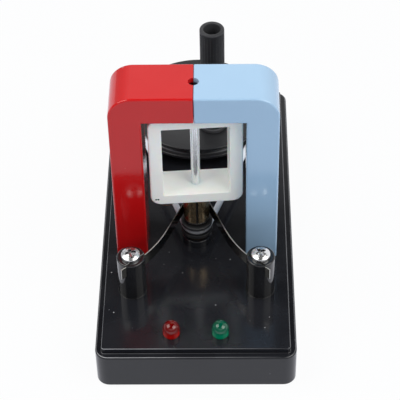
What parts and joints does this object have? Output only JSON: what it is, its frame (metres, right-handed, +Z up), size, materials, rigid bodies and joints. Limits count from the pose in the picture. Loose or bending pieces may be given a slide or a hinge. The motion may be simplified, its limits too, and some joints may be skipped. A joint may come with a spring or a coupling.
{
  "type": "hand crank generator",
  "caption": "Classroom hand crank generator: a belt-driven coil turns between red and blue magnet poles and lights lamps through brushes and a split-ring commutator.",
  "frame": {"origin": "middle of the footprint, on the table under the feet", "axes": "+X to the right seen from the lamps, +Y from the lamps towards the crank wheel, +Z up"},
  "size_m": [0.0584, 0.1206, 0.0779],
  "materials": {
    "gloss_black": "polished injection moulding",
    "satin_black": "satin injection moulding",
    "commutator_black": "moulded resin",
    "red_plastic": "polished injection moulding",
    "blue_plastic": "polished injection moulding",
    "white_plastic": "smooth moulded nylon",
    "red_lens": "clear tinted resin",
    "green_lens": "clear tinted resin",
    "chromed_steel": "bright plating",
    "zinc_steel": "zinc plating",
    "shaft_steel": "ground bar",
    "spring_strip": "rolled spring strip",
    "commutator_brass": "worn brass tube",
    "bush_brass": "turned",
    "enamelled_copper": "clear enamel over copper",
    "tinned_wire": "tinned",
    "ferrite": "sintered block",
    "belt_rubber": "milky drawn cord",
    "foot_rubber": "soft pad",
    "nylon": "punched sheet",
    "red_sleeve": "insulated wire",
    "black_sleeve": "insulated wire",
    "yellow_sleeve": "insulated wire"
  },
  "bodies": {
    "base": {"base_housing": "gloss_black", "bottom_cover": "satin_black", "cover_screws": "zinc_steel", "rubber_feet": "foot_rubber", "left_brush_post": "gloss_black", "right_brush_post": "gloss_black", "left_brush": "spring_strip", "right_brush": "spring_strip", "brush_screws": "chromed_steel", "terminal_nuts": "bush_brass", "red_led": "red_lens", "green_led": "green_lens", "led_leads": "tinned_wire", "left_wire": "red_sleeve", "right_wire": "black_sleeve", "link_wires": "yellow_sleeve", "red_pole_shell": "red_plastic", "blue_pole_shell": "blue_plastic", "red_rear_cover": "red_plastic", "blue_rear_cover": "blue_plastic", "rear_cover_screws": "zinc_steel", "left_magnet": "ferrite", "right_magnet": "ferrite", "leg_screws": "zinc_steel", "upper_bearing": "bush_brass", "lower_bearing": "bush_brass", "drive_belt": "belt_rubber", "thrust_washer": "nylon", "axle_washer": "zinc_steel", "axle_screw": "chromed_steel"},
    "rotor": {"rotor_shaft": "shaft_steel", "coil_bobbin": "white_plastic", "coil_core": "enamelled_copper", "coil_winding": "enamelled_copper", "coil_leads": "enamelled_copper", "commutator_core": "commutator_black", "commutator_segments": "commutator_brass", "rotor_pulley": "satin_black"},
    "wheel": {"drive_wheel": "satin_black", "grip_screw": "chromed_steel"},
    "grip": {"crank_grip": "satin_black"}
  },
  "joints": [
    {"name": "crank_turn", "type": "hinge", "parent": "base", "child": "wheel", "pos_m": [0, 0.038, 0.0213], "axis": [0, 0, 1], "continuous": true},
    {"name": "rotor_spin", "type": "hinge", "parent": "base", "child": "rotor", "pos_m": [0, -0.0144, 0.0213], "axis": [0, 0, 1], "continuous": true},
    {"name": "grip_spin", "type": "hinge", "parent": "wheel", "child": "grip", "pos_m": [0.00484, 0.02713, 0.0435], "axis": [0, 0, 1], "continuous": true}
  ],
  "couplings": [
    {"joint": "rotor_spin", "follows": "crank_turn", "ratio": 5.8611}
  ]
}
